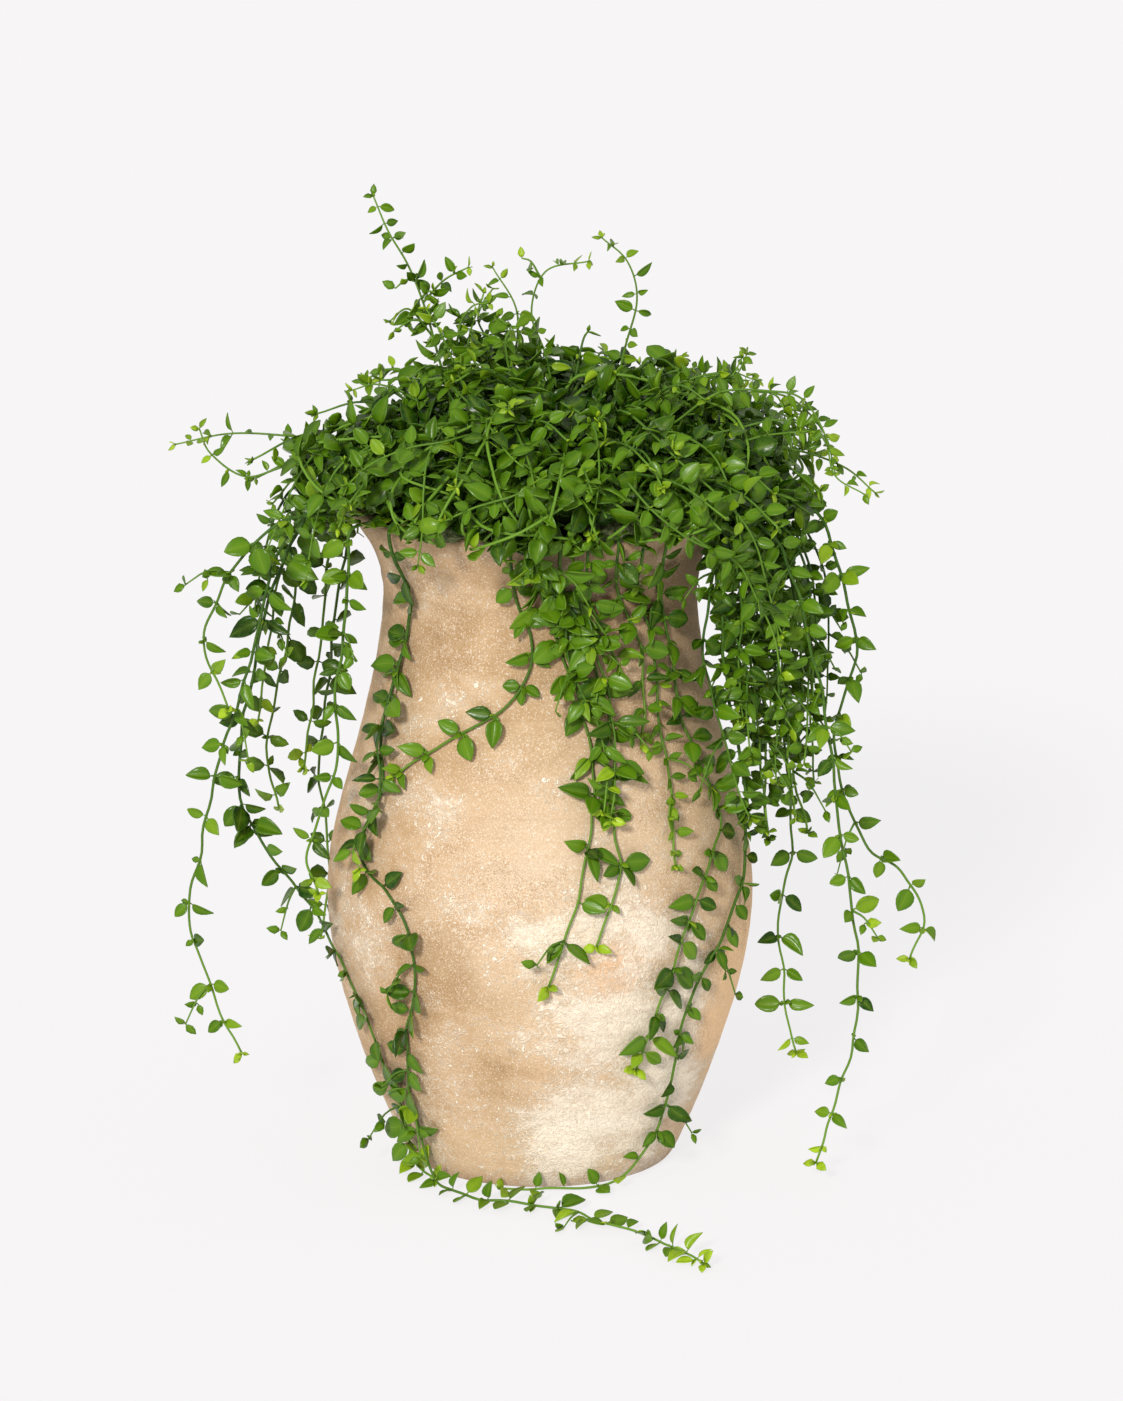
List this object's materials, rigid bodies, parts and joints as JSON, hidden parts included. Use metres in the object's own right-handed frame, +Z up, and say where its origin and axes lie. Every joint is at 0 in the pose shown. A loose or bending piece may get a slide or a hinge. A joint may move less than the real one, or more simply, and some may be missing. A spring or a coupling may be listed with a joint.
{
  "type": "potted turtle vine",
  "caption": "Trailing vine with small pointed leaves in an aged clay jar: a dense leafy mound over the lip and long leafy stems that hang down and run along the surface.",
  "frame": {"origin": "centre of the jar's flat foot, on the surface that it stands on", "axes": "+Z up along the jar's axis; -Y towards the viewer's side, where one vine runs out along the surface; +X to the viewer's right"},
  "size_m": [0.4751, 0.4159, 0.626],
  "materials": {
    "clay": "matte",
    "soil": "matte",
    "foliage": "satin"
  },
  "bodies": {
    "root": {"jar": "clay", "soil": "soil", "mound": "foliage", "vine_left_outer": "foliage", "vine_left_long": "foliage", "vine_left_inner": "foliage", "vine_left_rim": "foliage", "vine_left_on_jar": "foliage", "vine_left_bundle": "foliage", "vine_left_behind": "foliage", "vine_sweep": "foliage", "vine_centre": "foliage", "vine_centre_fork": "foliage", "vine_centre_short": "foliage", "vine_front_right_short": "foliage", "vine_front_thin": "foliage", "vine_front_right": "foliage", "vine_right_long": "foliage", "vine_right_longest": "foliage", "vine_curtain_front": "foliage", "vine_curtain_second": "foliage", "vine_right_outer": "foliage", "vine_curtain_third": "foliage", "vine_curtain_fourth": "foliage", "vine_right_straight": "foliage", "vine_curtain_fifth": "foliage", "vine_curtain_sixth": "foliage", "vine_back_right": "foliage", "vine_back_inner": "foliage", "vine_back_free": "foliage", "vine_back_middle": "foliage", "vine_back_left_free": "foliage", "vine_back_left": "foliage", "vine_back_left_long": "foliage", "vine_left_back": "foliage"}
  },
  "joints": []
}
